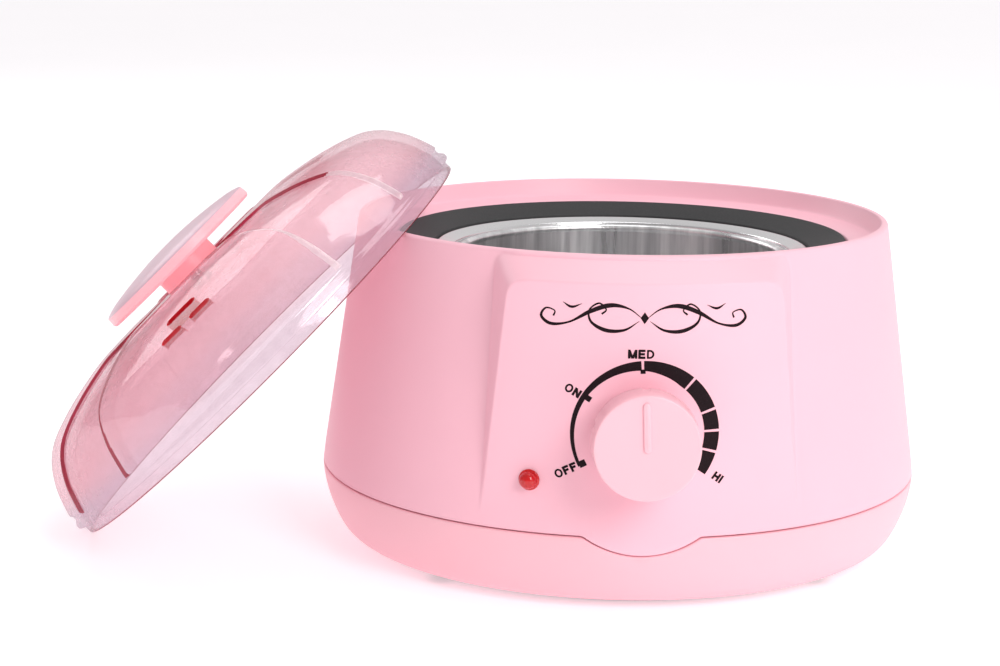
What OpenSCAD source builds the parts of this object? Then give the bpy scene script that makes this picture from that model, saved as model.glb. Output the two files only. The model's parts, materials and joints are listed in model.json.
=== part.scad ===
// Wax warmer: heated pot with a dial-controlled thermostat, lift-out wax pot
// and a clear vented lid that stands leaning against the left of the rim.
// Millimetres. Z up, table at z = 0, body axis through the origin,
// control panel towards -Y, lid leaning towards -X.

/* [Body] */
// Outside diameter at the joint line between housing and base
body_d = 185.6; // [184.8:0.2:186.4]
// Outside diameter of the top rim
rim_d = 163.4; // [163:0.2:163.8]
// Height of the rim above the table
rim_h = 101.7; // [101.4:0.1:102]
// Height of the joint line above the table
seam_z = 23.5; // [23.2:0.1:23.8]
// Wall thickness of the plastic shells
wall = 2.2; // [1.8:0.1:2.6]
// Radius of the upright front panel
panel_r = 91.9; // [91.6:0.1:92.2]

/* [Lid] */
// Outside radius of the skirt that drops inside the rim
skirt_r = 80.1; // [79.8:0.1:80.2]
// Angle between the leaning lid and the table
lean_deg = 45.4; // [45.2:0.1:45.6]
// Turn of the leaning direction about the body axis
lean_turn = -2; // [-4:0.5:0]
// Gap under the skirt when the lid hangs over the rim
hover = 1.3; // [1.2:0.1:1.6]
// Distance from the swing axis to the skirt's lower edge
swing_r = 154; // [153.8:0.1:154.2]

/* [Controls] */
// Height of the dial centre
dial_z = 53.5; // [52:0.5:55]
// Radius of the knob at its back edge
knob_r = 15.1; // [15:0.1:16.2]
// How far the knob's face stands from the body axis
knob_y = 109.4; // [108:0.1:110]
// Radius of the printed scale's outer edge
scale_r = 20.6; // [19.5:0.1:21]
// Height of the indicator lamp
lamp_z = 38.8; // [38:0.2:40]
// Angle of the lamp round the body from the panel's middle
lamp_turn = -20; // [-20.5:0.5:-18.5]

/* [Wax pot] */
// Inside radius of the wax pot
pot_r = 49.9; // [49.5:0.1:50]
// Thickness of the pot's sheet
pot_t = 0.8; // [0.6:0.1:0.9]
// Radius of the bail's arc
bail_r = 46.4; // [46:0.1:46.4]
// Radius of the bail's wire
bail_wire = 1.25; // [1:0.05:1.3]

/* [Hidden] */
$fn = 96;
body_r = body_d / 2;
rim_r = rim_d / 2;
cone_z = seam_z + 4.1;                       // where the straight cone starts
cone_r = body_r - 0.5;
slope = (cone_r - rim_r) / (rim_h - cone_z); // outward per mm down
function cone_at(z) = rim_r + (rim_h - z) * slope;
swing_z = rim_h + hover - swing_r;           // height of the swing axis
well_r = 52.4;
well_floor = 30.2;
bail_z = 83;
pink = [0.96, 0.74, 0.81];
pink_pale = [0.98, 0.80, 0.86];
alu = [0.80, 0.81, 0.83];
steel = [0.62, 0.64, 0.67];

// ---- helpers ----
module facing(turn = 0, z = 0) { rotate([0, 0, turn]) translate([0, 0, z]) rotate([90, 0, 0]) children(); }
module leaning() { translate([0, 0, swing_z]) rotate([0, 0, lean_turn]) rotate([0, -lean_deg, 0]) translate([0, 0, swing_r]) children(); }
module tube(ro, ri, h) { difference() { cylinder(r = ro, h = h); translate([0, 0, -1]) cylinder(r = ri, h = h + 2); } }
// Straight prism that bounds the front panel: sides draft outwards to the rear and flare downwards
module panel_prism(grow = 0) {
    difference() {
        translate([-60, -98, seam_z]) cube([120, 45, 82]);
        for (s = [0, 1]) mirror([s, 0, 0]) translate([70.2 - grow, 0, 0]) rotate([0, -4.75, -15.8]) translate([0, -200, -100]) cube([100, 300, 300]);
    }
}
module sector2d(a0, a1, r) { // wedge, angles clockwise from 12 o'clock
    polygon(concat([[0, 0]], [for (i = [0:8]) let (a = a0 + (a1 - a0) * i / 8) [r * sin(a), r * cos(a)]]));
}

// ---- fixed body ----
module upper_housing() color(pink) difference() {
    union() {
        rotate_extrude() polygon([
            [body_r - 0.2, seam_z + 0.25], [body_r, seam_z + 0.8], [cone_r, cone_z],
            [rim_r + 0.35, rim_h - 2.2], [rim_r, rim_h - 1.1], [rim_r - 0.3, rim_h - 0.4], [rim_r - 0.9, rim_h],
            [rim_r - 1.3, rim_h], [rim_r - 1.8, rim_h - 0.3], [rim_r - 2.1, rim_h - 0.9],
            [78.5, rim_h - 4.7], [77.9, rim_h - 5.4], [77.0, rim_h - 5.7],
            [69.6, rim_h - 6.8], [69.6, 93.2], [64, 93.2], [64, 91], [76.5, 91.9],
            [cone_at(88) - wall, 88], [cone_r - wall, cone_z], [cone_r - wall, seam_z + 0.25]]);
        intersection() {
            rotate_extrude() polygon([[cone_at(28) - 1.2, 28], [panel_r, 28], [panel_r, 95.1], [panel_r - 0.5, 95.8],
                [rim_r + 0.2, rim_h - 0.7], [rim_r - 1, rim_h - 0.7], [cone_at(95) - 1.2, 95]]);
            panel_prism();
        }
        // half-round tab that dips into the base under the dial
        intersection() {
            tube(body_r - 0.15, body_r - wall, seam_z + 10);
            translate([0, 0, 47.6]) rotate([90, 0, 0]) cylinder(r = 29.2, h = 100);
            translate([-20, -100, 17.5]) cube([40, 100, 12]);
        }
        // screw bosses
        for (a = [45:90:315]) rotate([0, 0, a]) translate([79, 0, seam_z + 0.25]) cylinder(r = 4.2, h = 26);
        for (a = [45:90:315]) rotate([0, 0, a]) translate([79, -1, 27.5]) cube([9.4, 2, 22]);
    }
    // hollow behind the panel, leaving a 2.6 mm face
    difference() {
        intersection() {
            translate([0, 0, 26]) cylinder(r = panel_r - 2.6, h = 66);
            panel_prism(3.2);
        }
        translate([0, 0, 20]) cylinder(r1 = cone_at(20) - wall - 3, r2 = cone_at(95) - wall - 3, h = 75);
    }
    facing(0, dial_z) translate([0, 0, 80]) cylinder(r = 4, h = 20);
    facing(lamp_turn, lamp_z) translate([0, 0, 80]) cylinder(r = 2.6, h = 20);
    for (a = [45:90:315]) rotate([0, 0, a]) translate([79, 0, seam_z]) cylinder(r = 1.6, h = 22);
    translate([0, 0, seam_z - 1]) cylinder(r = 70, h = 10);
}

module base_shell() color(pink) difference() {
    union() {
        rotate_extrude() polygon([
            [0, 2.2], [81.5, 2.2], [84.6, 3.2], [86.8, 5.4], [89.3, 9.8], [91.3, 14.6], [92.5, 19.6],
            [body_r, seam_z - 0.7], [body_r - 0.2, seam_z - 0.25], [body_r - wall, seam_z - 0.25], [body_r - wall, seam_z - 4],
            [90.1, 19.6], [89.1, 15.2], [87.2, 10.8], [84.8, 6.5], [82.9, 4.8], [80.5, 4.4], [0, 4.4]]);
        // tongue that locates the housing
        rotate_extrude() polygon([[88.2, 14.8], [89.4, 14.8], [body_r - wall + 0.1, 18], [body_r - wall + 0.1, 22.5], [89.8, 23.3], [89.8, seam_z + 2.6], [89.4, seam_z + 3], [88.2, seam_z + 3]]);
        for (a = [45:90:315]) rotate([0, 0, a]) translate([79, 0, 4]) cylinder(r = 4.2, h = seam_z - 3.8);
    }
    // notch for the housing's tab
    intersection() {
        tube(body_r + 2, body_r - wall - 0.25, seam_z + 10);
        translate([0, 0, 47.6]) rotate([90, 0, 0]) cylinder(r = 29.6, h = 100);
        translate([-20, -100, 17]) cube([40, 100, 12]);
    }
    for (a = [45:90:315]) rotate([0, 0, a]) translate([79, 0, 0]) { cylinder(r = 1.9, h = 60); cylinder(r = 3.6, h = 12); }
    rotate_extrude() polygon([[69.8, 1], [76.2, 1], [76.2, 3.2], [69.8, 3.2]]);
    translate([0, 0, 12.8]) rotate([-90, 0, 0]) {
        translate([0, 0, 70]) cylinder(r = 5.6, h = 30);
        translate([0, 0, 90.7]) cylinder(r = 7.5, h = 10);
        translate([0, 0, 74]) cylinder(r = 7.1, h = 11.8);
    }
    for (a = [0:30:330]) rotate([0, 0, a + 15]) translate([24, -1.5, 0]) cube([16, 3, 10]);
    for (a = [30:120:270]) rotate([0, 0, a]) translate([44, 0, 0]) cylinder(r = 1.7, h = 10);
}

module foot_ring() color([0.30, 0.29, 0.30]) rotate_extrude() polygon([[70.6, 0], [75.4, 0], [76, 0.6], [76, 3.2], [70, 3.2], [70, 0.6]]);

module base_screws() color(steel) for (a = [45:90:315]) rotate([0, 0, a]) translate([79, 0, 0]) {
    translate([0, 0, 9.6]) cylinder(r = 3.2, h = 2.4);
    translate([0, 0, 11.9]) cylinder(r = 1.5, h = 30);
}

module heat_ring() color([0.20, 0.20, 0.21]) rotate_extrude() polygon([
    [69.2, 93.2], [69.2, 95.2], [68.9, 95.55], [68.3, 95.6], [58.9, 92.5], [58.3, 92], [58.3, 90.35],
    [55.2, 90.35], [55.2, 88.2], [61, 88.2], [61, 86], [63.6, 86], [63.6, 93.2]]);

module heating_well() color(alu) rotate_extrude() polygon([
    [well_r, 90.3], [57.5, 91.75], [57.9, 91.6], [58.05, 91.2], [58.05, 90.35], [55, 90.35], [53.9, 89.8], [53.6, 89],
    [53.6, 36.5], [51.5, 31], [47, 29], [0, 29], [0, well_floor], [46.6, well_floor], [50.4, 32], [well_r, 37]]);

module heating_band() color([0.72, 0.66, 0.52]) translate([0, 0, 38]) tube(55.2, 53.7, 30);

module band_strap() color(steel) difference() {
    union() {
        for (z = [41, 61]) translate([0, 0, z]) tube(55.8, 55.25, 4);
        for (z = [41, 61]) translate([55.3, -4, z]) cube([7, 8, 4]);
    }
    translate([54, -1.2, 30]) cube([12, 2.4, 50]);
    for (z = [43, 63]) translate([59.4, -10, z]) rotate([-90, 0, 0]) cylinder(r = 1.2, h = 20);
}

module insulation_wrap() color([0.93, 0.92, 0.88]) difference() {
    translate([0, 0, 36.5]) tube(58.6, 56, 34);
    translate([50, -8, 30]) cube([15, 16, 50]);
}

module well_bracket() color(steel) difference() {
    union() {
        translate([0, 0, 27.7]) cylinder(r = 34, h = 1.2);
        for (a = [30:120:270]) rotate([0, 0, a]) {
            translate([30, -6, 27.7]) cube([8.2, 12, 1.2]);
            translate([37, -6, 4.5]) cube([1.2, 12, 24.4]);
            translate([37, -6, 4.5]) cube([12, 12, 1.2]);
        }
    }
    cylinder(r = 12, h = 60);
    for (a = [30:120:270]) rotate([0, 0, a]) translate([44, 0, 0]) cylinder(r = 1.7, h = 10);
}

module bracket_screws() color(steel) for (a = [30:120:270]) rotate([0, 0, a]) translate([44, 0, 0]) {
    translate([0, 0, 2.3]) cylinder(r = 1.5, h = 7);
    translate([0, 0, 5.8]) cylinder(r = 3, h = 2);
}

module thermal_fuse() color([0.85, 0.85, 0.82]) translate([-42, -18, 25.6]) rotate([0, 90, 0]) {
    cylinder(r = 2, h = 11);
    translate([0, 0, -8]) cylinder(r = 0.5, h = 27);
}

module fuse_clip() color(steel) difference() {
    translate([-40, -20.7, 23.1]) cube([7, 5.4, 5.8]);
    translate([-44, -18, 25.6]) rotate([0, 90, 0]) cylinder(r = 2.15, h = 14);
    translate([-44, -19.6, 20]) cube([14, 3.2, 5.6]);
}

module thermostat_bracket() color(steel) difference() {
    union() {
        translate([-13, -88.1, dial_z - 16]) cube([26, 1.2, 32]);
        for (z = [dial_z - 16, dial_z + 14.8]) translate([-8, -88, z]) cube([16, 20, 1.2]);
    }
    facing(0, dial_z) translate([0, 0, 80]) cylinder(r = 4, h = 20);
}

module thermostat_bushing() color([0.80, 0.66, 0.36]) facing(0, dial_z) difference() {
    union() {
        translate([0, 0, 78]) cylinder(r = 3.95, h = 16.6);
        translate([0, 0, 84.9]) cylinder(r = 7, h = 2);
    }
    translate([0, 0, 70]) cylinder(r = 3.05, h = 40);
}

module thermostat_nut() color(steel) facing(0, dial_z) difference() {
    translate([0, 0, panel_r + 0.1]) cylinder(r = 6.6, h = 2.2, $fn = 6);
    translate([0, 0, 80]) cylinder(r = 3.98, h = 30);
}

module contact_stack() color([0.94, 0.93, 0.90]) difference() {
    translate([-5, -83, dial_z - 14.75]) cube([10, 10, 8.2]);
    translate([-3.2, -84, dial_z - 9]) cube([6.4, 30, 0.9]);
    translate([0, -75.5, 0]) cylinder(r = 1.2, h = dial_z - 9.5);
}

module fixed_contact() color([0.80, 0.58, 0.36]) {
    translate([-3.1, -83, dial_z - 8.9]) cube([6.2, 23, 0.7]);
    translate([0, -62.5, dial_z - 8.3]) cylinder(r = 1.6, h = 1);
}

module moving_contact() color([0.80, 0.58, 0.36]) {
    translate([-2.6, -78.6, dial_z - 6.5]) cube([5.2, 18, 0.5]);
    translate([0, -62.5, dial_z - 7.2]) cylinder(r = 1.6, h = 0.75);
    translate([0, -76.9, dial_z - 6.1]) cylinder(r = 1.5, h = 0.8);
}

module dial_scale() color([0.13, 0.05, 0.07]) intersection() {
    facing(0, dial_z) linear_extrude(height = 120) difference() {
        union() {
            difference() {
                circle(r = scale_r);
                translate([-1.75, 0]) circle(r = scale_r - 2.8);
            }
            for (t = [[-117, 1.9], [-58, 1.9], [-3, 1.5]]) rotate(-t[0]) translate([-t[1] / 2, scale_r - 4]) square([t[1], 3.4]);
        }
        sector2d(124.6, 241.6, 40);
        for (a = [-3, 40.6, 69.9, 87.8, 105.1]) rotate(-a) translate([-0.4, scale_r - (a < 0 ? 2.6 : 6)]) square([0.8, 8]);
    }
    difference() {
        translate([0, 0, 20]) cylinder(r = panel_r + 0.15, h = 70);
        cylinder(r = panel_r, h = 120);
    }
    translate([-40, -110, 20]) cube([80, 60, 80]);
}

module indicator_lens() color([0.80, 0.05, 0.05]) facing(lamp_turn, lamp_z) {
    translate([0, 0, 84]) cylinder(r = 2.5, h = panel_r - 84 + 1.7);
    translate([0, 0, panel_r + 1.7]) intersection() { sphere(r = 2.5); translate([-3, -3, 0]) cube([6, 6, 4]); }
}

module lamp_holder() color([0.15, 0.15, 0.15]) facing(lamp_turn, lamp_z) difference() {
    union() { translate([0, 0, 82]) cylinder(r = 4, h = 5.6); translate([0, 0, 86]) cylinder(r = 5, h = 1.6); }
    translate([0, 0, 81]) cylinder(r = 2.55, h = 10);
}

module terminal_block() color([0.92, 0.92, 0.90]) difference() {
    translate([-16, 56, 4.4]) cube([32, 12, 11]);
    for (x = [-10, 10]) translate([x, 50, 8]) rotate([-90, 0, 0]) cylinder(r = 1.6, h = 30);
    for (x = [-10, 10]) translate([x, 62, 11]) cylinder(r = 1.8, h = 12);
}

// Insulated lead: an arc round the body, a bend and a riser, joined by crimped sleeves
module lead(r, arc_r, a0, turn, z, top) {
    rotate([0, 0, a0]) translate([0, 0, z]) {
        rotate_extrude(angle = turn - 0.3) translate([arc_r, 0]) circle(r = r);
        rotate([0, 0, turn]) translate([arc_r, 0, 4]) rotate([-90, 0, 90]) rotate([0, 0, 4]) rotate_extrude(angle = 82) translate([4, 0]) circle(r = r);
        rotate([0, 0, turn]) translate([arc_r, 4, 4.3]) cylinder(r = r, h = top - z - 4.3);
        rotate([0, 0, turn]) translate([arc_r, 0, 0]) sphere(r = r + 0.4);
        rotate([0, 0, turn]) translate([arc_r, 4, 4]) sphere(r = r + 0.4);
    }
}
module lead_wires() {
    color([0.75, 0.10, 0.10]) lead(1.1, 64, 105, 158.5, 12, dial_z - 9);
    color([0.15, 0.25, 0.65]) mirror([0, 1, 0]) lead(1.1, 60, -74, 67.8, 12, 40.9);
}

module cord_grommet() color([0.16, 0.16, 0.17]) translate([0, 0, 12.8]) rotate([-90, 0, 0]) difference() {
    union() {
        translate([0, 0, 84]) cylinder(r = 5.5, h = 8);
        translate([0, 0, 90.9]) cylinder(r = 7.2, h = 1.6);
        translate([0, 0, 84]) cylinder(r = 6.8, h = 1.6);
    }
    translate([0, 0, 80]) cylinder(r = 3.4, h = 20);
}

// ---- knob and what turns with it ----
module control_knob() color(pink_pale) facing(0, dial_z) difference() {
    union() {
        difference() {
            rotate_extrude() polygon([[0, panel_r + 0.8], [knob_r - 2.9, panel_r + 0.8], [knob_r - 2.6, panel_r + 1.2], [knob_r - 2.6, knob_y - 9.6], [knob_r - 0.2, knob_y - 9.6],
                [knob_r, knob_y - 9.2], [knob_r - 0.1, knob_y - 4], [knob_r - 0.3, knob_y - 0.9], [knob_r - 0.5, knob_y - 0.3], [knob_r - 1, knob_y], [0, knob_y]]);
            translate([0, 0, panel_r]) cylinder(r = knob_r - 4.5, h = knob_y - panel_r - 7.9);
            translate([0, 0, knob_y - 8]) cylinder(r = knob_r - 2.2, h = 6);
        }
        translate([0, 0, panel_r + 3.4]) cylinder(r = 5, h = knob_y - panel_r - 4.4);
        for (a = [0:60:300]) rotate([0, 0, a]) translate([4.6, -0.6, panel_r + 5]) cube([knob_r - 8.4, 1.2, knob_y - panel_r - 6]);
        // pointer rib
        translate([-0.9, 0, knob_y - 0.2]) cube([1.8, knob_r - 1.6, 0.95]);
        translate([0, 0, knob_y - 0.2]) cylinder(r = 0.9, h = 0.95);
    }
    translate([0, 0, 80]) cylinder(r = 3.02, h = 104.6 - 80);
    for (a = [0:72:288]) rotate([0, 0, a]) translate([0, knob_r + 1.9, knob_y - 10.5]) cylinder(r = 2.6, h = 5.4);
}

module control_shaft() color(steel) facing(0, dial_z) union() {
    translate([0, 0, 66]) cylinder(r = 3, h = 104.5 - 66);
}

module adjusting_cam() color([0.92, 0.90, 0.84]) facing(0, dial_z) difference() {
    translate([0.8, 0, 67]) cylinder(r = 4.6, h = 5);
    translate([0, 0, 60]) cylinder(r = 3.02, h = 20);
}

// ---- lift-out pot ----
module wax_pot() color(alu) rotate_extrude() union() {
    polygon([[0, well_floor + 0.1], [43, well_floor + 0.1], [46.6, well_floor + 1], [49.3, well_floor + 3.4], [pot_r + pot_t - 0.2, well_floor + 7], [pot_r + pot_t, well_floor + 9],
        [pot_r + pot_t, 89], [pot_r, 89], [pot_r, well_floor + 9], [pot_r - 0.3, well_floor + 7.2], [48.6, well_floor + 4], [46.1, well_floor + 1.8], [42.8, well_floor + 0.9], [0, well_floor + 0.9]]);
    translate([pot_r + pot_t - 0.1, 89.1]) circle(r = 1.25);
}

module bail_ears() color(alu) for (s = [0, 1]) mirror([s, 0, 0]) translate([0, 0, bail_z]) difference() {
    union() {
        rotate([0, 90, 0]) translate([0, 0, bail_r + bail_wire + 0.25]) cylinder(r = 3.6, h = pot_r - 0.2 - bail_r - bail_wire - 0.25);
        translate([46, -7, -bail_wire - 1.3]) cube([3.2, 5, 1.2]);
    }
    rotate([0, 90, 0]) translate([0, 0, 40]) cylinder(r = bail_wire + 0.06, h = 9.3);
}

module pot_bail() color(steel) translate([0, 0, bail_z]) {
    rotate([0, 0, 180]) rotate_extrude(angle = 180) translate([bail_r, 0]) circle(r = bail_wire, $fn = 32);
    for (s = [-1, 1]) rotate([0, s * 90, 0]) translate([0, 0, bail_r - 0.6]) cylinder(r = bail_wire, h = 49.1 - bail_r + 0.6);
}

// ---- lid, drawn level with its skirt's lower edge at z = 0, then leaned ----
raised = [[16, 34.8], [38, 34.6], [42, 34.3], [48, 33.3], [55, 31.8], [62, 29.8], [68, 27.4], [72, 24.6], [75, 21.3], [78, 16.5], [80, 11.5], [80.9, 8.4]];
plain = [[38, 33.7], [42, 33.4], [47.7, 32.4], [54.7, 30.9], [61.6, 29], [67.4, 26.6], [71.3, 24], [74.2, 20.8], [77.1, 16.2], [79.1, 11.3], [80.1, 8.4]];
module vent(turn, r, z, tilt, l, w) rotate([0, 0, turn]) translate([0, -r, z]) rotate([tilt, 0, 0]) translate([0, 0, -8]) {
    translate([-l / 2 + w / 2, -w / 2, 0]) cube([l - w, w, 14]);
    for (s = [-1, 1]) translate([s * (l - w) / 2, 0, 0]) cylinder(r = w / 2, h = 14);
}
module lid_shell() color([0.95, 0.62, 0.70, 0.45]) leaning() difference() {
    union() {
        rotate_extrude() polygon(concat([[0, 32.1], [0, 33.9]], plain, [[81.0, 5.6], [81.5, 4.4], [81.5, 3.4], [skirt_r, 3.4], [skirt_r, 0.4], [skirt_r - 0.4, 0], [skirt_r - 1, 0], [skirt_r - 1.4, 0.4],
            [skirt_r - 1.4, 3.4], [78.6, 7], [77.3, 10.8], [75.4, 15.4], [72.6, 19.7], [69.9, 22.7], [66.3, 25.1], [60.8, 27.3], [54.1, 29.2], [47.3, 30.6], [41.8, 31.6], [38, 31.9]]));
        for (a = [0:90:270]) rotate([0, 0, a - 31.5]) rotate_extrude(angle = 66)
            polygon(concat(raised, [for (i = [len(plain) - 1:-1:0]) plain[i] - [0.3, 0.3]], [[16, 33.4]]));
    }
    translate([0, 0, 20]) cylinder(r = 2.1, h = 30);
    vent(2.3, 61.35, 29.9, 16, 11.6, 3.2);
    vent(7, 69.5, 26.3, 35, 9, 2.8);
    vent(-2.1, 69.5, 26.3, 35, 9, 2.8);
}

module lid_knob() color(pink_pale) leaning() difference() {
    rotate_extrude() polygon([[0, 33.9], [10.4, 33.9], [10.4, 38.8], [28.9, 38.8], [29.4, 39.3], [29.5, 39.9], [29.3, 41.9], [28.8, 42.6],
        [26.5, 43.4], [24, 44.05], [18, 44.85], [12, 45.45], [6, 45.85], [0, 46]]);
    translate([0, 0, 30]) cylinder(r = 1.95, h = 11);
}

module lid_screw() color(steel) leaning() {
    translate([0, 0, 29.1]) cylinder(r = 3.6, h = 2.1);
    translate([0, 0, 31]) cylinder(r = 1.9, h = 9.4);
}

module lid_washer() color(steel) leaning() translate([0, 0, 31.2]) tube(6, 2.05, 0.8);

upper_housing();
base_shell();
foot_ring();
base_screws();
heat_ring();
heating_well();
heating_band();
band_strap();
insulation_wrap();
well_bracket();
bracket_screws();
thermal_fuse();
fuse_clip();
thermostat_bracket();
thermostat_bushing();
thermostat_nut();
contact_stack();
fixed_contact();
moving_contact();
dial_scale();
indicator_lens();
lamp_holder();
terminal_block();
lead_wires();
cord_grommet();
control_knob();
control_shaft();
adjusting_cam();
wax_pot();
bail_ears();
pot_bail();
lid_shell();
lid_knob();
lid_screw();
lid_washer();
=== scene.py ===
import bpy, bmesh, math, json, random
from mathutils import Vector, Matrix, Euler


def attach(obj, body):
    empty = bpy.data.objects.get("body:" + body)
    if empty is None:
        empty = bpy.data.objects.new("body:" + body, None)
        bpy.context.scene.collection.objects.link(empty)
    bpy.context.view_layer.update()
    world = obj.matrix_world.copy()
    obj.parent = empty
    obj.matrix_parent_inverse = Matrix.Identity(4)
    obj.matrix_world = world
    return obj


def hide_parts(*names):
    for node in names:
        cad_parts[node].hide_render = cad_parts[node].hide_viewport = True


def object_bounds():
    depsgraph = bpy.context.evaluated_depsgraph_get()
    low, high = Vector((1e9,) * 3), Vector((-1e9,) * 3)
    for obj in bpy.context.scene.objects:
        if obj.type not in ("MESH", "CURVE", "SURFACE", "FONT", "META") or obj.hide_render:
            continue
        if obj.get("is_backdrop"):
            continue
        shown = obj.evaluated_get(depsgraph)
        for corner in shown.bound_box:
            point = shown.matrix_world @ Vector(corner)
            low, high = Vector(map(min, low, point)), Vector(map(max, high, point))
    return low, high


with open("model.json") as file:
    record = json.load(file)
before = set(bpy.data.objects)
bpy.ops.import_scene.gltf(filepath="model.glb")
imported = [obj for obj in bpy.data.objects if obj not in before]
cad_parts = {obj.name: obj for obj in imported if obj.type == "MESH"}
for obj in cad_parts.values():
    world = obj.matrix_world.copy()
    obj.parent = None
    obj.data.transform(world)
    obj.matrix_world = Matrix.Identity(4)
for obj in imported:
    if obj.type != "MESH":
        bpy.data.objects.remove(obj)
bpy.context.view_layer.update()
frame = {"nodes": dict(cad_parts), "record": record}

MM = 0.001
NODES = frame["nodes"]
BODY = {}
for b, members in frame["record"]["behaviour"]["bodies"].items():
    for n in members:
        BODY[n] = b

# ------------------------------------------------------------------ sizes (mm), the same as the CAD part's
BODY_R, RIM_R, RIM_H, SEAM = 92.8, 81.7, 101.7, 23.5
CONE_Z, CONE_R = 27.6, 92.3
SLOPE = (CONE_R - RIM_R) / (RIM_H - CONE_Z)
PANEL_R = 91.9
DIAL_Z = 53.5
LEAN, TURN, HOVER, SWING = 45.4, -2.0, 1.3, 154.0
SWING_Z = RIM_H + HOVER - SWING
LID = (Matrix.Translation((0, 0, SWING_Z * MM)) @ Matrix.Rotation(math.radians(TURN), 4, "Z")
       @ Matrix.Rotation(math.radians(-LEAN), 4, "Y") @ Matrix.Translation((0, 0, SWING * MM)))


# ------------------------------------------------------------------ small maths
def smoothstep(a, b, x):
    t = min(max((x - a) / (b - a), 0.0), 1.0)
    return t * t * (3 - 2 * t)


def smin(a, b, k):
    h = max(k - abs(a - b), 0.0) / k
    return min(a, b) - h * h * h * k / 6.0


def smax(a, b, k):
    return -smin(-a, -b, k)


def interp(x, xs, ys):
    if x <= xs[0]:
        return ys[0]
    for i in range(1, len(xs)):
        if x <= xs[i]:
            return ys[i - 1] + (ys[i] - ys[i - 1]) * (x - xs[i - 1]) / (xs[i] - xs[i - 1])
    return ys[-1]


def spline(pts, step=1.0):
    """Centripetal curve through points, sampled about every step."""
    out = []
    n = len(pts)
    for i in range(n - 1):
        p0 = pts[max(i - 1, 0)]; p1 = pts[i]; p2 = pts[i + 1]; p3 = pts[min(i + 2, n - 1)]
        d = math.dist(p1, p2)
        k = max(int(math.ceil(d / step)), 1)
        for j in range(k):
            t = j / k
            q = []
            for a in range(len(p1)):
                m1 = (p2[a] - p0[a]) / 2 if i > 0 else (p2[a] - p1[a])
                m2 = (p3[a] - p1[a]) / 2 if i < n - 2 else (p2[a] - p1[a])
                q.append((2 * t**3 - 3 * t**2 + 1) * p1[a] + (t**3 - 2 * t**2 + t) * m1 + (-2 * t**3 + 3 * t**2) * p2[a] + (t**3 - t**2) * m2)
            out.append(tuple(q))
    out.append(tuple(pts[-1]))
    return out


def rounded(pts, seg=5):
    """Polyline of (r, z[, radius]) with each corner of a given radius turned into an arc."""
    out = []
    n = len(pts)
    for i, p in enumerate(pts):
        rad = p[2] if len(p) > 2 else 0
        if rad <= 0 or i in (0, n - 1):
            out.append((p[0], p[1])); continue
        a = Vector(pts[i - 1][:2]) - Vector(p[:2]); b = Vector(pts[i + 1][:2]) - Vector(p[:2])
        la, lb = a.length, b.length
        a.normalize(); b.normalize()
        ang = a.angle(b)
        if ang < 1e-3 or abs(ang - math.pi) < 1e-3:
            out.append((p[0], p[1])); continue
        t = min(rad / math.tan(ang / 2), 0.49 * la, 0.49 * lb)
        r = t * math.tan(ang / 2)
        c = Vector(p[:2]) + (a + b).normalized() * (r / math.sin(ang / 2))
        s = Vector(p[:2]) + a * t - c; e = Vector(p[:2]) + b * t - c
        sweep = s.angle(e)
        sign = 1 if s.x * e.y - s.y * e.x > 0 else -1
        for j in range(seg + 1):
            th = sign * sweep * j / seg
            out.append((c.x + s.x * math.cos(th) - s.y * math.sin(th), c.y + s.x * math.sin(th) + s.y * math.cos(th)))
    return out


# ------------------------------------------------------------------ mesh helpers
def new_object(name, verts, faces, smooth_angle=35):
    me = bpy.data.meshes.new(name)
    me.from_pydata([(v[0] * MM, v[1] * MM, v[2] * MM) for v in verts], [], faces)
    me.validate()
    ob = bpy.data.objects.new(name, me)
    bpy.context.scene.collection.objects.link(ob)
    tidy(ob, smooth_angle)
    return ob


def tidy(ob, smooth_angle=35, merge=0.0):
    bm = bmesh.new(); bm.from_mesh(ob.data)
    if merge:
        bmesh.ops.remove_doubles(bm, verts=bm.verts, dist=merge * MM)
    bmesh.ops.recalc_face_normals(bm, faces=bm.faces)
    bm.to_mesh(ob.data); bm.free()
    for p in ob.data.polygons:
        p.use_smooth = True
    if smooth_angle:
        ob.data.set_sharp_from_angle(angle=math.radians(smooth_angle))


def grid_mesh(rows, close_u=True, close_v=False):
    """rows[i][j] are points; u runs along j (closed round), v along i."""
    verts = [p for r in rows for p in r]
    n = len(rows[0]); m = len(rows)
    faces = []
    for i in range(m if close_v else m - 1):
        i2 = (i + 1) % m
        for j in range(n if close_u else n - 1):
            j2 = (j + 1) % n
            faces.append((i * n + j, i * n + j2, i2 * n + j2, i2 * n + j))
    return verts, faces


def lathe(name, prof, segs=192, closed=True, smooth_angle=35, cap=False):
    """Turns (r, z) points round Z. closed joins the last point to the first."""
    rows = []
    for r, z in prof:
        r = max(r, 0.0)
        rows.append([(r * math.cos(2 * math.pi * j / segs), r * math.sin(2 * math.pi * j / segs), z) for j in range(segs)])
    v, f = grid_mesh(rows, True, closed)
    ob = new_object(name, v, f, 0)
    tidy(ob, smooth_angle, merge=0.001)
    return ob


def facing(turn=0.0, z=0.0):
    """Frame whose local Z points out of the panel (-Y), local Y up."""
    return Matrix.Rotation(math.radians(turn), 4, "Z") @ Matrix.Translation((0, 0, z * MM)) @ Matrix.Rotation(math.radians(90), 4, "X")


def place(ob, mat):
    ob.data.transform(mat)
    ob.data.update()
    return ob


def join(obs, name):
    for o in bpy.context.selected_objects:
        o.select_set(False)
    for o in obs:
        o.select_set(True)
    bpy.context.view_layer.objects.active = obs[0]
    bpy.ops.object.join()
    obs[0].name = name
    obs[0].data.name = name
    return obs[0]


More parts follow.
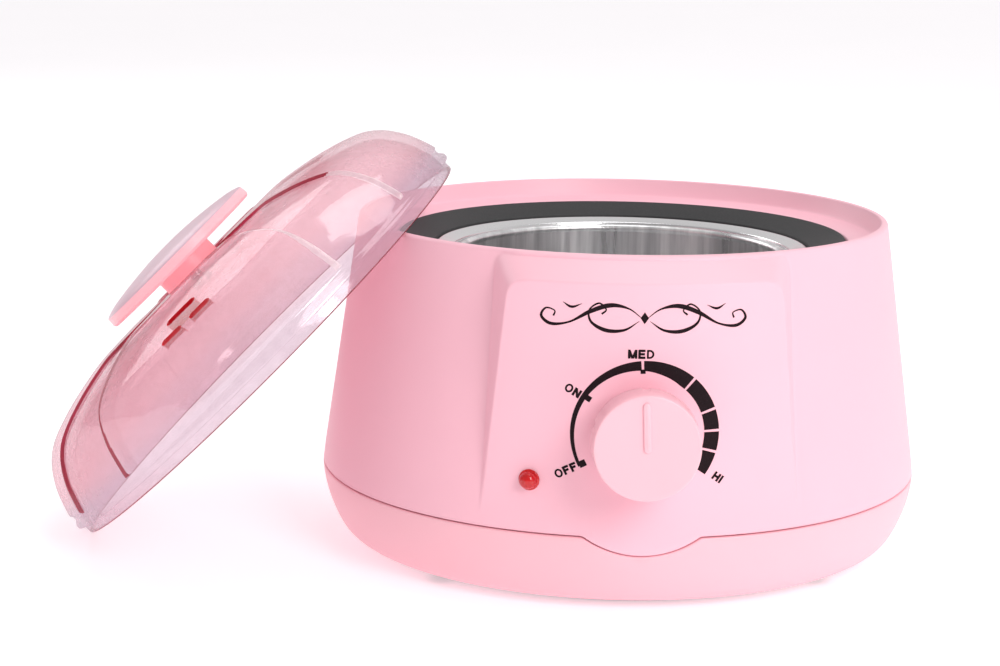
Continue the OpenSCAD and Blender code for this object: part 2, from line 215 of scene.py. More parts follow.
def cut(ob, cutters, op="DIFFERENCE"):
    for c in cutters:
        m = ob.modifiers.new("cut", "BOOLEAN")
        m.operation = op
        m.object = c
        m.solver = "EXACT"
        dg = bpy.context.evaluated_depsgraph_get()
        me = bpy.data.meshes.new_from_object(ob.evaluated_get(dg))
        ob.modifiers.clear()
        old = ob.data
        ob.data = me
        bpy.data.meshes.remove(old)
        me.name = ob.name
    for c in cutters:
        bpy.data.objects.remove(c)
    return ob


def finish_piece(ob, body, material, slot_name, *nodes):
    ob.data.materials.clear()
    ob.data.materials.append(material)
    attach(ob, body)
    if nodes:
        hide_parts(*nodes)
    return ob


# ------------------------------------------------------------------ materials
class Mat:
    def __init__(self, name):
        self.m = bpy.data.materials.new(name)
        self.m.use_nodes = True
        self.t = self.m.node_tree
        self.b = self.t.nodes["Principled BSDF"]
        self.co = self.t.nodes.new("ShaderNodeTexCoord").outputs["Object"]

    def node(self, kind, **inputs):
        n = self.t.nodes.new(kind)
        for k, v in inputs.items():
            key = k.replace("_", " ")
            if isinstance(v, bpy.types.NodeSocket):
                self.t.links.new(v, n.inputs[key])
            else:
                n.inputs[key].default_value = v
        return n

    def link(self, a, b):
        self.t.links.new(a, b)

    def math(self, op, a, b=0.0, c=None):
        n = self.t.nodes.new("ShaderNodeMath"); n.operation = op
        for i, v in enumerate([a, b] + ([c] if c is not None else [])):
            if isinstance(v, bpy.types.NodeSocket):
                self.link(v, n.inputs[i])
            else:
                n.inputs[i].default_value = v
        return n.outputs[0]

    def noise(self, scale, detail=3.0, rough=0.5, vector=None):
        n = self.t.nodes.new("ShaderNodeTexNoise")
        n.inputs["Scale"].default_value = scale
        n.inputs["Detail"].default_value = detail
        n.inputs["Roughness"].default_value = rough
        self.link(vector or self.co, n.inputs["Vector"])
        return n.outputs["Fac"]

    def ramp(self, fac, stops):
        r = self.t.nodes.new("ShaderNodeValToRGB")
        while len(r.color_ramp.elements) < len(stops):
            r.color_ramp.elements.new(0.5)
        for e, (p, c) in zip(r.color_ramp.elements, stops):
            e.position = p
            e.color = (*c, 1) if len(c) == 3 else c
        self.link(fac, r.inputs["Fac"])
        return r.outputs["Color"]

    def mapr(self, fac, a, b, lo=0.0, hi=1.0):
        n = self.t.nodes.new("ShaderNodeMapRange")
        n.inputs["From Min"].default_value = lo; n.inputs["From Max"].default_value = hi
        n.inputs["To Min"].default_value = a; n.inputs["To Max"].default_value = b
        self.link(fac, n.inputs["Value"])
        return n.outputs["Result"]

    def bump(self, height, strength, distance, normal=None):
        n = self.t.nodes.new("ShaderNodeBump")
        n.inputs["Strength"].default_value = strength
        n.inputs["Distance"].default_value = distance
        self.link(height, n.inputs["Height"])
        if normal is not None:
            self.link(normal, n.inputs["Normal"])
        self.link(n.outputs["Normal"], self.b.inputs["Normal"])
        return n.outputs["Normal"]

    def set(self, **kw):
        for k, v in kw.items():
            key = k.replace("_", " ")
            s = self.b.inputs[key]
            if isinstance(v, bpy.types.NodeSocket):
                self.link(v, s)
            elif isinstance(v, (tuple, list)) and len(v) == 3 and key in ("Base Color", "Specular Tint", "Subsurface Radius", "Emission Color", "Sheen Tint", "Coat Tint"):
                s.default_value = (*v, 1) if key != "Subsurface Radius" else v
            else:
                s.default_value = v
        return self

    def separate(self):
        n = self.t.nodes.new("ShaderNodeSeparateXYZ")
        self.link(self.co, n.inputs[0])
        return n.outputs


def shade(c, k):
    return tuple(min(x * k, 1.0) for x in c)


def moulded(name, colour, rough=0.42, grain=0.05, vary=0.03, spec=0.5, sss=0.0, sss_col=None, coat=0.0, painted_glow=None):
    """Moulded plastic: faint flow mottling, fine spark-eroded grain, uneven gloss."""
    m = Mat(name)
    flow = m.noise(18, 3, 0.55)
    col = m.ramp(flow, [(0.3, shade(colour, 1 - vary)), (0.7, shade(colour, 1 + vary * 0.6))])
    fine = m.noise(4200, 2, 0.6)
    mid = m.noise(900, 2, 0.5)
    m.set(Base_Color=col, Roughness=m.mapr(mid, rough - 0.04, rough + 0.05), Specular_IOR_Level=spec)
    if sss:
        m.set(Subsurface_Weight=sss, Subsurface_Radius=sss_col or (0.6, 0.25, 0.2), Subsurface_Scale=0.004)
    if coat:
        m.set(Coat_Weight=coat, Coat_Roughness=0.12)
    # painted glow: emission that makes the plastic look lit, painted light on a part that is no lamp
    if painted_glow:
        m.set(Emission_Color=painted_glow[0], Emission_Strength=painted_glow[1])
    m.bump(fine, grain, 0.00006)
    return m.m


def spun_metal(name, colour, rough=0.2, marks=0.35, concentric=True):
    """Spun sheet: fine rings round the axis, with drifts in gloss."""
    m = Mat(name)
    x, y, z = m.separate()
    if concentric:
        r = m.math("SQRT", m.math("ADD", m.math("MULTIPLY", x, x), m.math("MULTIPLY", y, y)))
        comb = m.t.nodes.new("ShaderNodeCombineXYZ")
        m.link(r, comb.inputs[0]); m.link(z, comb.inputs[1])
        lines = m.noise(2600, 4, 0.7, comb.outputs[0])
    else:
        comb = m.t.nodes.new("ShaderNodeCombineXYZ")
        m.link(m.math("MULTIPLY", x, 40.0), comb.inputs[0]); m.link(m.math("MULTIPLY", y, 1.0), comb.inputs[1]); m.link(m.math("MULTIPLY", z, 40.0), comb.inputs[2])
        lines = m.noise(60, 4, 0.7, comb.outputs[0])
    drift = m.noise(30, 2, 0.5)
    m.set(Base_Color=m.ramp(drift, [(0.3, shade(colour, 0.94)), (0.7, colour)]), Metallic=1.0,
          Roughness=m.mapr(lines, rough - 0.06, rough + 0.08))
    m.bump(lines, marks, 0.00002)
    return m.m


def drawn_pot(name, colour):
    """Deep-drawn sheet: soft upright streaks of painted reflection in the colour of the wall, over a fine brushing."""
    m = Mat(name)
    x, y, z = m.separate()
    comb = m.t.nodes.new("ShaderNodeCombineXYZ")
    for i, (q, k) in enumerate(((x, 1.0), (y, 1.0), (z, 0.07))):
        m.link(m.math("MULTIPLY", q, k), comb.inputs[i])
    painted_reflection_streak = m.noise(75, 4, 0.62, comb.outputs[0])
    thin = m.noise(420, 3, 0.6, comb.outputs[0])
    mixed = m.math("ADD", m.math("MULTIPLY", painted_reflection_streak, 0.75), m.math("MULTIPLY", thin, 0.25))
    # on the outside of the wall the painted reflection streaks are pulled to an even middle grey
    r = m.math("SQRT", m.math("ADD", m.math("MULTIPLY", x, x), m.math("MULTIPLY", y, y)))
    outside_wall = m.math("MULTIPLY", m.mapr(r, 0.0, 0.72, 0.0501, 0.0505), m.mapr(z, 1.0, 0.0, 0.0868, 0.0876))
    mixed = m.math("ADD", mixed, m.math("MULTIPLY", m.math("SUBTRACT", 0.545, mixed), outside_wall))
    # the streaks run the colour from dark grey to near white: painted reflections, not the metal's own colour
    m.set(Base_Color=m.ramp(mixed, [(0.36, shade(colour, 0.62)), (0.50, shade(colour, 0.92)), (0.62, (0.98, 0.98, 0.98))]), Metallic=1.0,
          Roughness=m.mapr(mixed, 0.24, 0.42, 0.35, 0.65))
    m.bump(mixed, 0.25, 0.0003)
    return m.m


PINK = (0.98, 0.545, 0.64)
BASE_PINK = (0.97, 0.53, 0.60)
KNOB_PINK = (0.97, 0.535, 0.61)

MATS = {}
MATS["body_plastic"] = moulded("PinkHousing", PINK, 0.40, 0.05, 0.02, 0.45)
MATS["base_plastic"] = moulded("PinkBase", BASE_PINK, 0.40, 0.05, 0.02, 0.45)
MATS["knob_plastic"] = moulded("PalePinkKnob", KNOB_PINK, 0.30, 0.03, 0.02, 0.5)
# the salmon lid knob gets a faint painted reddish glow (emission), painted light
MATS["lid_knob_plastic"] = moulded("SalmonKnob", (0.97, 0.50, 0.56), 0.34, 0.04, 0.02, 0.45, sss=0.4, sss_col=(1.0, 0.35, 0.3), painted_glow=((1.0, 0.42, 0.42), 0.16))
MATS["lid_knob_crown"] = moulded("SalmonKnobCrown", (0.76, 0.50, 0.60), 0.30, 0.04, 0.03, 0.5, sss=0.2, sss_col=(1.0, 0.4, 0.4))
MATS["foot_rubber"] = moulded("FootRubber", (0.20, 0.19, 0.20), 0.75, 0.3, 0.12, 0.3)
MATS["black_plastic"] = moulded("BlackPlastic", (0.035, 0.035, 0.037), 0.45, 0.15, 0.15, 0.4)
MATS["white_plastic"] = moulded("NylonWhite", (0.86, 0.86, 0.82), 0.45, 0.08, 0.03, 0.4)
MATS["ceramic_white"] = moulded("Steatite", (0.88, 0.86, 0.80), 0.6, 0.25, 0.05, 0.3)
MATS["fuse_body"] = spun_metal("FuseCan", (0.75, 0.75, 0.74), 0.3)
MATS["steel"] = spun_metal("ZincSteel", (0.60, 0.61, 0.63), 0.34, 0.3, False)
MATS["bail_wire"] = spun_metal("DrawnWire", (0.72, 0.73, 0.75), 0.2, 0.2, False)
MATS["brass"] = spun_metal("TurnedBrass", (0.78, 0.57, 0.28), 0.25, 0.3, False)
MATS["contact_bronze"] = spun_metal("BronzeStrip", (0.76, 0.47, 0.28), 0.3, 0.3, False)
MATS["mica_band"] = moulded("MicaBand", (0.42, 0.34, 0.22), 0.4, 0.4, 0.2, 0.5)


def glass_wool():
    m = Mat("GlassWool")
    w1 = m.t.nodes.new("ShaderNodeTexWave"); w1.inputs["Scale"].default_value = 500; w1.inputs["Distortion"].default_value = 1.5
    m.link(m.co, w1.inputs["Vector"])
    n = m.noise(700, 4, 0.7)
    h = m.math("ADD", w1.outputs["Fac"], n)
    m.set(Base_Color=m.ramp(n, [(0.3, (0.72, 0.70, 0.62)), (0.7, (0.90, 0.89, 0.84))]), Roughness=0.9, Sheen_Weight=0.3)
    m.bump(h, 0.6, 0.0003)
    return m.m


def wire_insulation():
    m = Mat("LeadSleeve")
    x, y, z = m.separate()
    side = m.math("GREATER_THAN", x, 0.0)
    col = m.ramp(side, [(0.4, (0.45, 0.03, 0.03)), (0.6, (0.03, 0.07, 0.35))])
    n = m.noise(1500, 2, 0.5)
    mix = m.t.nodes.new("ShaderNodeMixRGB"); mix.blend_type = "MULTIPLY"; mix.inputs[0].default_value = 0.4
    m.link(col, mix.inputs[1]); m.link(m.ramp(n, [(0.3, (0.75, 0.75, 0.75)), (0.7, (1, 1, 1))]), mix.inputs[2])
    m.set(Base_Color=mix.outputs[0], Roughness=0.5)
    m.bump(n, 0.1, 0.0001)
    return m.m


MATS["glass_wool"] = glass_wool()
MATS["wire_insulation"] = wire_insulation()


def ring_dark():
    """Heat-proof ring: dark, sparkly fine grain, slightly uneven sheen."""
    m = Mat("DarkRing")
    g = m.noise(2600, 3, 0.7)
    d = m.noise(25, 2, 0.5)
    m.set(Base_Color=m.ramp(g, [(0.30, (0.020, 0.0205, 0.022)), (0.62, (0.034, 0.0345, 0.036)), (0.80, (0.08, 0.08, 0.084))]),
          Roughness=m.mapr(d, 0.55, 0.66), Specular_IOR_Level=0.32)
    m.bump(g, 0.35, 0.00008)
    return m.m


MATS["ring_dark"] = ring_dark()
MATS["polished_aluminium"] = spun_metal("PolishedAluminium", (0.80, 0.80, 0.81), 0.16, 0.25)
MATS["pot_aluminium"] = drawn_pot("PotAluminium", (0.80, 0.80, 0.81))


def ink():
    """Printed ink: near-black brown, with the speckle of a screen print."""
    m = Mat("DialInk")
    g = m.noise(5200, 2, 0.75)
    m.set(Base_Color=m.ramp(g, [(0.40, (0.006, 0.001, 0.003)), (0.64, (0.014, 0.005, 0.008)), (0.82, (0.10, 0.06, 0.07))]),
          Roughness=0.6, Specular_IOR_Level=0.16)
    m.bump(g, 0.2, 0.00003)
    return m.m


MATS["scale_print"] = ink()


def lens_red():
    m = Mat("RedLens")
    n = m.noise(300, 2, 0.5)
    m.set(Base_Color=m.ramp(n, [(0.3, (0.42, 0.001, 0.004)), (0.7, (0.56, 0.003, 0.006))]), Roughness=m.mapr(n, 0.08, 0.14),
          Specular_IOR_Level=0.5, Coat_Weight=0.35, Coat_Roughness=0.03, Emission_Color=(0.9, 0.0, 0.004), Emission_Strength=0.10, Subsurface_Weight=0.1, Subsurface_Radius=(1.0, 0.1, 0.1), Subsurface_Scale=0.002)
    m.bump(n, 0.02, 0.0001)
    return m.m


MATS["lens_red"] = lens_red()


def lid_coords(m):
    """Height and radius (mm) in the lid's own level frame, from object coordinates."""
    t = m.t
    co = t.nodes.new("ShaderNodeTexCoord").outputs["Object"]
    inv = LID.inverted()
    out = []
    for i in range(3):
        d = t.nodes.new("ShaderNodeVectorMath"); d.operation = "DOT_PRODUCT"
        m.link(co, d.inputs[0]); d.inputs[1].default_value = tuple(inv[i][k] / MM for k in range(3))
        out.append(m.math("ADD", d.outputs["Value"], inv[i][3] / MM))
    x, y, z = out
    r = m.math("SQRT", m.math("ADD", m.math("MULTIPLY", x, x), m.math("MULTIPLY", y, y)))
    return x, y, z, r


def lid_clear(name, tint, side, veil, veil_col, gloss=0.06, bumpy=0.14, zones=False, deep=(0.40, 0.02, 0.10)):
    """Clear tinted plastic, thin-walled: straight-through tint that deepens where the wall is seen edge-on, a milky veil, and a slightly wavy gloss."""
    m = Mat(name)
    t = m.t
    n = m.noise(34, 3, 0.5)
    orange = m.noise(260, 3, 0.55)
    fine = m.noise(1300, 2, 0.5)
    lw = t.nodes.new("ShaderNodeLayerWeight"); lw.inputs["Blend"].default_value = 0.5
    face = m.math("POWER", lw.outputs["Facing"], 1.6)
    half = tuple((a + b) / 2 for a, b in zip(tint, side))
    tc_ = m.ramp(face, [(0.0, tint), (0.70, half), (0.90, side), (0.97, deep)])
    vc = m.ramp(n, [(0.3, shade(veil_col, 0.93)), (0.7, veil_col)])
    amount = m.math("ADD", m.mapr(orange, veil * 0.82, veil * 1.18, 0.3, 0.7), m.math("MULTIPLY", face, veil * 1.2))
    if zones:
        x, y, z, r = lid_coords(m)
        skirt = m.mapr(z, 1.0, 0.0, 7.5, 12.5)
        # painted reflection: a mottled rose band round the shoulder stands in for the knob and darker surroundings seen
        # in the lid
        band_ = m.math("MULTIPLY", m.mapr(r, 0.0, 1.0, 45.0, 54.0), m.mapr(r, 1.0, 0.0, 59.0, 69.0))
        painted_reflection_band = m.math("MULTIPLY", band_, m.mapr(m.noise(55, 3, 0.6), 0.0, 0.85, 0.42, 0.66))
        painted_reflection_band = m.math("MULTIPLY", painted_reflection_band, m.mapr(fine, 0.75, 1.0, 0.4, 0.6))

        def mix(fac, a, b):
            k = t.nodes.new("ShaderNodeMix"); k.data_type = "RGBA"
            m.link(fac, k.inputs[0])
            for sock, val in ((k.inputs[6], a), (k.inputs[7], b)):
                if isinstance(val, tuple):
                    sock.default_value = (*val, 1)
                else:
                    m.link(val, sock)
            return k.outputs[2]

        # painted light: tint and veil turn paler towards the lid's +x side and above the skirt, where the strong light
        # falls on it
        painted_lit_side = m.math("MULTIPLY", m.mapr(x, 0.0, 1.0, 2.0, 42.0), m.mapr(z, 0.0, 1.0, 8.0, 16.0))
        tc_ = mix(painted_lit_side, tc_, (0.995, 0.905, 0.925))
        vc = mix(painted_lit_side, vc, (1.0, 0.72, 0.78))
        tc_ = mix(skirt, tc_, (0.915, 0.845, 0.885))
        vc = mix(skirt, vc, (0.80, 0.66, 0.76))
        # the painted reflection band turns tint and veil rose
        tc_ = mix(painted_reflection_band, tc_, (0.93, 0.62, 0.68))
        vc = mix(painted_reflection_band, vc, (0.80, 0.25, 0.32))
        amount = m.math("ADD", amount, m.math("MULTIPLY", painted_reflection_band, 0.10))
    tr = t.nodes.new("ShaderNodeBsdfTransparent"); m.link(tc_, tr.inputs["Color"])
    df = t.nodes.new("ShaderNodeBsdfDiffuse")
    tl = t.nodes.new("ShaderNodeBsdfTranslucent")
    m.link(vc, df.inputs["Color"]); m.link(vc, tl.inputs["Color"])
    v = t.nodes.new("ShaderNodeMixShader"); v.inputs[0].default_value = 0.5
    m.link(df.outputs[0], v.inputs[1]); m.link(tl.outputs[0], v.inputs[2])
    body = t.nodes.new("ShaderNodeMixShader")
    m.link(amount, body.inputs[0]); m.link(tr.outputs[0], body.inputs[1]); m.link(v.outputs[0], body.inputs[2])
    bp = t.nodes.new("ShaderNodeBump"); bp.inputs["Strength"].default_value = bumpy; bp.inputs["Distance"].default_value = 0.0004
    m.link(m.math("ADD", orange, m.math("MULTIPLY", fine, 0.12)), bp.inputs["Height"])
    gl = t.nodes.new("ShaderNodeBsdfGlossy"); m.link(m.mapr(n, gloss * 0.7, gloss * 1.5), gl.inputs["Roughness"])
    m.link(bp.outputs[0], gl.inputs["Normal"])
    l2 = t.nodes.new("ShaderNodeLayerWeight"); l2.inputs["Blend"].default_value = 0.5
    m.link(bp.outputs[0], l2.inputs["Normal"])
    fr = m.math("ADD", m.math("MULTIPLY", m.math("POWER", l2.outputs["Facing"], 5.0), 0.45), 0.085)
    out = t.nodes.new("ShaderNodeMixShader")
    m.link(fr, out.inputs[0]); m.link(body.outputs[0], out.inputs[1]); m.link(gl.outputs[0], out.inputs[2])
    m.link(out.outputs[0], t.nodes["Material Output"].inputs["Surface"])
    return m.m


MATS["lid_clear"] = lid_clear("TintedClear", (0.97, 0.875, 0.90), (0.95, 0.72, 0.77), 0.20, (0.95, 0.62, 0.69), bumpy=0.10, zones=True)
# painted highlight: a pale, milky copy of the clear tint for the step edges on the lit side
MATS["lid_glint"] = lid_clear("TintedClearPaintedGlint", (0.99, 0.93, 0.95), (0.98, 0.85, 0.88), 0.6, (1.0, 0.90, 0.93), 0.12, 0.05)
# painted shade: a deep red copy of the clear tint for step faces and the skirt's lower face that show as dark lines
MATS["lid_edge"] = lid_clear("TintedClearEdgeShade", (0.40, 0.03, 0.08), (0.30, 0.02, 0.05), 0.35, (0.50, 0.03, 0.07), 0.10, 0.05)
MATS["lid_vent"] = lid_clear("TintedClearCut", (0.30, 0.01, 0.02), (0.20, 0.01, 0.02), 0.65, (0.62, 0.012, 0.02), 0.10, 0.05)

# ------------------------------------------------------------------ camera and light come first
cam_data = bpy.data.cameras.new("Camera")
cam = bpy.data.objects.new("Camera", cam_data)
bpy.context.scene.collection.objects.link(cam)
cam_data.sensor_fit = "HORIZONTAL"
cam_data.sensor_width = 36
cam_data.lens = 83.54
cam_data.clip_start = 0.01
cam_data.clip_end = 50
loc = Vector((-60.0, -714.5, 206.9)) * MM
aim = Vector((-37.45, 3.14, 62.5)) * MM
fwd = (aim - loc).normalized()
right = fwd.cross(Vector((0, 0, 1))).normalized()
up = right.cross(fwd)
roll = math.radians(0.854)
rx = right * math.cos(roll) + up * math.sin(roll)
uy = -right * math.sin(roll) + up * math.cos(roll)
cam.matrix_world = Matrix(((rx.x, uy.x, -fwd.x, loc.x), (rx.y, uy.y, -fwd.y, loc.y), (rx.z, uy.z, -fwd.z, loc.z), (0, 0, 0, 1)))
bpy.context.scene.camera = cam


def area(name, pos, target, size, power, colour=(1, 1, 1), size_y=None, spread=180):
    d = bpy.data.lights.new(name, "AREA")
    d.shape = "RECTANGLE"; d.size = size; d.size_y = size_y or size
    d.energy = power; d.color = colour
    d.spread = math.radians(spread)
    o = bpy.data.objects.new(name, d)
    bpy.context.scene.collection.objects.link(o)
    o.location = pos
    o.rotation_euler = (Vector(target) - Vector(pos)).to_track_quat("-Z", "Y").to_euler()
    return o


area("KeyRight", (0.52, -1.0, 0.66), (0.02, 0, 0.06), 0.5, 7.4, (1.0, 0.98, 0.96), 0.6)
area("TopSoft", (0.15, 0.12, 1.25), (0, 0, 0.05), 0.7, 3.6)
area("BackLeft", (-0.9, 0.9, 0.7), (-0.05, 0, 0.08), 0.8, 3.6)
area("WarmLeft", (-1.0, -0.5, 0.25), (0, 0, 0.05), 0.7, 0.3, (1.0, 0.60, 0.64))

world = bpy.data.worlds.new("Studio")
bpy.context.scene.world = world
world.use_nodes = True
wt = world.node_tree
bg = wt.nodes["Background"]
tc = wt.nodes.new("ShaderNodeTexCoord")
sep = wt.nodes.new("ShaderNodeSeparateXYZ")
wt.links.new(tc.outputs["Generated"], sep.inputs[0])


def wmath(op, a, b):
    n = wt.nodes.new("ShaderNodeMath"); n.operation = op
    for i, v in enumerate((a, b)):
        if isinstance(v, bpy.types.NodeSocket):
            wt.links.new(v, n.inputs[i])
        else:
            n.inputs[i].default_value = v
    return n.outputs[0]


def wmap(v, a, b, lo, hi):
    n = wt.nodes.new("ShaderNodeMapRange")
    n.inputs["From Min"].default_value = lo; n.inputs["From Max"].default_value = hi
    n.inputs["To Min"].default_value = a; n.inputs["To Max"].default_value = b
    wt.links.new(v, n.inputs["Value"])
    return n.outputs["Result"]


# brighter to the right and behind, so the left flank falls off
strength = wmath("MULTIPLY", wmap(sep.outputs[0], 0.36, 0.64, -1.0, 1.0), wmap(sep.outputs[1], 0.85, 1.42, -1.0, 1.0))
wt.links.new(strength, bg.inputs["Strength"])
bg.inputs["Color"].default_value = (1, 0.985, 0.985, 1)

bpy.context.scene.view_settings.view_transform = "Standard"
bpy.context.scene.view_settings.look = "None"

# ------------------------------------------------------------------ floor
me = bpy.data.meshes.new("Floor")
bmf = bmesh.new()
bmesh.ops.create_grid(bmf, x_segments=2, y_segments=2, size=6)
bmf.to_mesh(me); bmf.free()
floor = bpy.data.objects.new("Floor", me)
bpy.context.scene.collection.objects.link(floor)
fm = Mat("FloorWhite")
fn = fm.noise(6, 2, 0.5)
fm.set(Base_Color=fm.ramp(fn, [(0.3, (0.86, 0.855, 0.86)), (0.7, (0.88, 0.875, 0.88))]), Roughness=0.4, Specular_IOR_Level=0.4,
       Emission_Color=(1, 0.96, 1.0), Emission_Strength=0.42)
me.materials.append(fm.m)
floor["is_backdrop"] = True

# ------------------------------------------------------------------ housing
def panel_half(z):
    return 70.2 - 0.0864 * z


def cone_r(z):
    if z >= CONE_Z:
        return RIM_R + (RIM_H - z) * SLOPE
    return interp(z, [SEAM + 0.25, CONE_Z], [BODY_R - 0.05, CONE_R])


def body_r(phi, z):
    """Outside radius at angle phi from -Y (radians) and height z."""
    rc = cone_r(z)
    # a soft break where the cone turns in to the joint line
    if SEAM < z < CONE_Z + 4:
        rc = smin(RIM_R + (RIM_H - z) * SLOPE, BODY_R + 0.02, 1.2)
    a = abs(phi)
    if a > math.radians(50):
        return rc
    s = math.sin(a) + 0.283 * math.cos(a)
    side = panel_half(z) / s if s > 0.05 else 1e3
    shelf = PANEL_R + (95.5 - z) * 1.66
    edge = smin(side, shelf, 12.0)
    blk = smin(PANEL_R, edge, 0.7)
    return smax(rc, blk, 1.1)


def samples(segments):
    """[(start, stop, step)...] to a sorted list without repeats."""
    out = []
    for a, b, s in segments:
        n = max(int(round((b - a) / s)), 1)
        out += [a + (b - a) * i / n for i in range(n)]
    return out


deg_half = samples([(0, 7.5, 0.6), (7.5, 12.5, 0.14), (12.5, 22, 0.8), (22, 44, 0.2), (44, 60, 0.9), (60, 180, 1.5)])
PHI = [math.radians(d) for d in deg_half] + [math.pi] + [-math.radians(d) for d in reversed(deg_half[1:])]


def tab_z(phi, r_gap=0.0):
    """Lower edge of the half-round tab, or the straight joint line."""
    x = abs(math.sin(phi)) * BODY_R
    R = 29.1 + 0.6 * r_gap
    if x < R and math.cos(phi) > 0:
        arc = 47.5 - math.sqrt(R * R - x * x)
    else:
        arc = 1e3
    return smin(SEAM + (0.15 if r_gap == 0 else -0.15), arc, 0.8)


def at(phi, r, z):
    return (r * math.sin(phi), -r * math.cos(phi), z)


zlist = samples([(0, 1, 0.02)])  # shares of the height between the lower edge and the rim's rounding
top_z = RIM_H - 1.15
rows = []
INNER = rounded([(RIM_R - 1.2, RIM_H), (79.75, RIM_H, 0.8), (78.45, 97.2), (77.9, 96.15, 0.9), (70.2, 94.95, 0.5), (69.65, 94.2), (69.65, 92.6)], 5)
cols = []
heights = samples([(SEAM + 1.5, 31, 0.7), (31, 80, 1.3), (80, 90, 0.5), (90, top_z, 0.3)]) + [top_z]
for phi in PHI:
    zb = tab_z(phi)
    col = []
    # inner wall up from below is added last; start at the inside of the lower edge
    rb = BODY_R - 0.05
    col.append((rb - 2.2, zb + 0.35))
    col.append((rb - 1.2, zb))
    col.append((rb - 0.55, zb + 0.02))
    col.append((rb - 0.22, zb + 0.14))
    col.append((rb - 0.06, zb + 0.36))
    for k, z in enumerate(heights):
        zz = z if k > 6 else zb + 0.7 + (heights[6] - zb - 0.7) * k / 6.0
        col.append((body_r(phi, zz) if zz > SEAM + 0.3 else BODY_R - 0.03, zz))
    rt = col[-1][0]
    for j in range(1, 7):
        a = math.pi / 2 * j / 6
        col.append((rt - 1.15 * (1 - math.cos(a)), top_z + 1.15 * math.sin(a)))
    rin = [(min(r, rt - 1.3), z) if i == 0 else (r, z) for i, (r, z) in enumerate(INNER)]
    col += rin
    col.append((75.5, 91.9))
    col.append((cone_r(80) - 2.4, 80))
    col.append((cone_r(50) - 2.4, 50))
    col.append((90.2, 28))
    cols.append([at(phi, r, z) for r, z in col])
rows = [[c[i] for c in cols] for i in range(len(cols[0]))]
v, f = grid_mesh(rows, True, True)
housing = new_object("Housing", v, f, 50)
finish_piece(housing, "warmer", MATS["body_plastic"], "body_plastic", "upper_housing")

# ------------------------------------------------------------------ base
BASE_OUT = [(80.4, 2.2), (82.6, 2.45), (84.6, 3.15), (86.6, 4.9), (88.2, 7.4), (89.7, 10.6), (91.0, 14.0), (92.0, 17.6), (92.55, 20.6), (92.75, 22.6)]
base_prof = spline(BASE_OUT, 0.8)
cols = []
for phi in PHI:
    zt = tab_z(phi, 0.5)
    top = max(min(zt, SEAM - 0.15), 15.5)
    col = [(60.0, 4.4), (60.0, 2.2), (69.7, 2.2), (69.9, 3.1), (76.1, 3.1), (76.3, 2.2)]
    n = len(base_prof)
    zs = [p[1] for p in base_prof]; rs = [p[0] for p in base_prof]
    zlast = top - 0.45
    for k in range(n):
        z = zs[k]
        if z > zlast - 0.3 or k > n - 9:
            # squeeze the last rows below the edge
            k0 = n - 9
            z0 = min(zs[k0], zlast - 1.0)
            if k >= k0:
                z = z0 + (zlast - z0) * (k - k0) / (n - 1 - k0)
        col.append((interp(z, zs, rs), z))
    rl = col[-1][0]
    col += [(rl - 0.05, top - 0.25), (rl - 0.2, top - 0.08), (rl - 0.5, top), (max(rl - 1.3, 90.35), top), (max(rl - 2.2, 90.2), top - 0.1)]
    # shoulder that stands behind the joint and blocks the light
    col += [(90.1, top - 0.2), (89.9, SEAM + 2.8), (88.4, SEAM + 2.8), (88.2, 15.2), (84.5, 6.6), (82.5, 4.8), (80.0, 4.4)]
    cols.append([at(phi, r, z) for r, z in col])
rows = [[c[i] for c in cols] for i in range(len(cols[0]))]
v, f = grid_mesh(rows, True, True)
base = new_object("BaseShell", v, f, 40)
floor_plate = lathe("BaseFloor", [(0, 2.2), (60.0, 2.2), (60.0, 4.4), (0, 4.4)], 96, True, 40)
# air slots and bracket holes in the floor
tools = []
for k in range(12):
    a = math.radians(15 + 30 * k)
    c_, s_ = math.cos(a), math.sin(a)
    box = [(x * c_ - y * s_, x * s_ + y * c_, z) for z in (0, 8) for x, y in ((24, -1.5), (40, -1.5), (40, 1.5), (24, 1.5))]
    tools.append(new_object("cutter", box, [(3, 2, 1, 0), (4, 5, 6, 7), (0, 1, 5, 4), (1, 2, 6, 5), (2, 3, 7, 6), (3, 0, 4, 7)], 0))
for a in (30, 150, 270):
    hole = lathe("cutter", [(0, 0), (1.7, 0), (1.7, 8), (0, 8)], 32, True, 0)
    place(hole, Matrix.Rotation(math.radians(a), 4, "Z") @ Matrix.Translation((44 * MM, 0, 0)))
    tools.append(hole)
cut(floor_plate, [join(tools, "cutter")])
# screw pockets near the rim and the cord inlet at the back
tools, bosses = [], []
for a in (45, 135, 225, 315):
    spot = Matrix.Rotation(math.radians(a), 4, "Z") @ Matrix.Translation((79 * MM, 0, 0))
    tools.append(place(lathe("cutter", [(0, 0), (3.6, 0), (3.6, 4.9), (0, 4.9)], 48, True, 0), spot))
    bosses.append(place(lathe("Boss", [(3.62, 4.1), (4.2, 4.1), (4.2, 20.2), (1.9, 20.2), (1.9, 12.0), (3.62, 12.0)], 48, True, 40), spot))
inlet = lathe("cutter", [(0, 80), (5.6, 80), (5.6, 90.7), (7.5, 90.7), (7.5, 100), (0, 100)], 64, True, 0)
tools.append(place(inlet, Matrix.Translation((0, 0, 12.8 * MM)) @ Matrix.Rotation(math.radians(-90), 4, "X")))
cut(base, [join(tools, "cutter")])
base = join([base, floor_plate] + bosses, "BaseShell")
tidy(base, 40)
finish_piece(base, "warmer", MATS["base_plastic"], "body_plastic", "base_shell")

